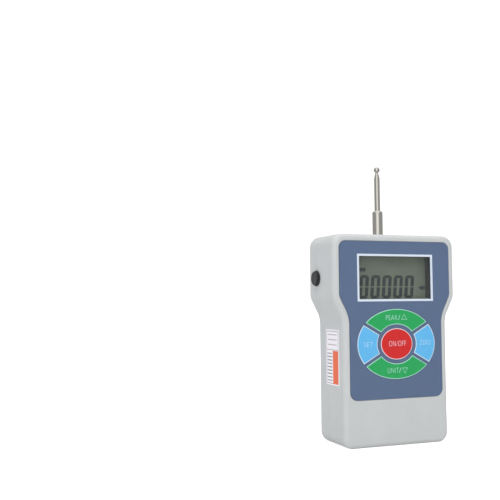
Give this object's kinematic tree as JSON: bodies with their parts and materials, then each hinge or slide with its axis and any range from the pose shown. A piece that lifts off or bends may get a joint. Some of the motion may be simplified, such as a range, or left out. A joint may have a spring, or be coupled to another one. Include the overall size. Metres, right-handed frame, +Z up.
{
  "type": "digital force gauge",
  "caption": "Hand-held electronic force gauge: two-shell housing, leaning ball-ended feeler on a load cell, press keys, display and a socket plug that pulls out.",
  "frame": {"origin": "centre of the flat bottom that the gauge stands on", "axes": "+Z up along the feeler, front with the display towards -Y, +X to the right seen from the front"},
  "size_m": [0.0742, 0.0296, 0.1476],
  "materials": {
    "housing_plastic": "light grey moulded ABS with a fine satin texture",
    "panel_film": "slate blue printed polyester film, satin",
    "clear_acrylic": "clear acrylic window",
    "black_plastic": "black moulded plastic",
    "display_glass": "grey-green reflective liquid crystal glass",
    "contact_rubber": "layered contact rubber",
    "red_key_film": "red printed key film",
    "green_key_film": "green printed key film",
    "blue_key_film": "light blue printed key film",
    "board_laminate": "green solder mask on glass laminate",
    "chip_epoxy": "black moulded epoxy",
    "white_nylon": "natural nylon",
    "cell_aluminium": "machined aluminium",
    "white_silicone": "white silicone coating over the strain gauge",
    "zinc_steel": "bright zinc-plated steel",
    "polished_steel": "turned and polished stainless steel",
    "contact_brass": "plain brass contact",
    "plug_rubber": "soft black rubber",
    "battery_wrap": "green shrink wrap",
    "foam": "black closed-cell foam",
    "red_insulation": "red wire insulation",
    "black_insulation": "black wire insulation",
    "grey_insulation": "grey cable sheath"
  },
  "bodies": {
    "housing": {"front_shell": "housing_plastic", "rear_shell": "housing_plastic", "membrane_overlay": "panel_film", "display_window": "clear_acrylic", "lcd_frame": "black_plastic", "charging_socket": "black_plastic", "lcd_front_glass": "display_glass", "lcd_rear_glass": "display_glass", "contact_strip_top": "contact_rubber", "contact_strip_bottom": "contact_rubber", "main_board": "board_laminate", "microcontroller": "chip_epoxy", "amplifier_chip": "chip_epoxy", "power_switch": "chip_epoxy", "up_switch": "chip_epoxy", "down_switch": "chip_epoxy", "set_switch": "chip_epoxy", "zero_switch": "chip_epoxy", "battery_connector": "white_nylon", "sensor_connector": "white_nylon", "load_cell": "cell_aluminium", "strain_gauge_left": "white_silicone", "strain_gauge_right": "white_silicone", "load_cell_bracket": "zinc_steel", "load_cell_bolt": "zinc_steel", "case_screw_top_left": "zinc_steel", "case_screw_top_right": "zinc_steel", "case_screw_bottom_left": "zinc_steel", "case_screw_bottom_right": "zinc_steel", "board_screw_top_left": "zinc_steel", "board_screw_top_right": "zinc_steel", "board_screw_bottom_left": "zinc_steel", "board_screw_bottom_right": "zinc_steel", "bracket_screw_left": "zinc_steel", "bracket_screw_right": "zinc_steel", "socket_pin": "contact_brass", "battery_pack": "battery_wrap", "foam_pad": "foam", "battery_lead_red": "red_insulation", "battery_lead_black": "black_insulation", "charging_lead": "black_insulation", "sensor_cable": "grey_insulation"},
    "power_button": {"power_key": "red_key_film", "power_plunger": "black_plastic"},
    "up_button": {"up_key": "green_key_film", "up_plunger": "black_plastic"},
    "down_button": {"down_key": "green_key_film", "down_plunger": "black_plastic"},
    "set_button": {"set_key": "blue_key_film", "set_plunger": "black_plastic"},
    "zero_button": {"zero_key": "blue_key_film", "zero_plunger": "black_plastic"},
    "probe": {"probe_lock_nut": "zinc_steel", "probe_holder": "polished_steel", "probe_tip": "polished_steel"},
    "plug": {"socket_plug": "plug_rubber"}
  },
  "joints": [
    {"name": "power_press", "type": "slide", "parent": "housing", "child": "power_button", "axis": [0, 1, 0], "range_m": [0, 0.0003], "stiffness_N_per_m": 600},
    {"name": "up_press", "type": "slide", "parent": "housing", "child": "up_button", "axis": [0, 1, 0], "range_m": [0, 0.0003], "stiffness_N_per_m": 600},
    {"name": "down_press", "type": "slide", "parent": "housing", "child": "down_button", "axis": [0, 1, 0], "range_m": [0, 0.0003], "stiffness_N_per_m": 600},
    {"name": "set_press", "type": "slide", "parent": "housing", "child": "set_button", "axis": [0, 1, 0], "range_m": [0, 0.0003], "stiffness_N_per_m": 600},
    {"name": "zero_press", "type": "slide", "parent": "housing", "child": "zero_button", "axis": [0, 1, 0], "range_m": [0, 0.0003], "stiffness_N_per_m": 600},
    {"name": "probe_lean", "type": "hinge", "parent": "housing", "child": "probe", "pos_m": [0, 0.0029, 0.0769], "axis": [0, 1, 0], "range_deg": [-1, 1], "stiffness_Nm_per_rad": 8, "deforming": ["load_cell"]},
    {"name": "plug_pull", "type": "slide", "parent": "housing", "child": "plug", "axis": [-1, 0, 0], "range_m": [0, 0.009]}
  ]
}
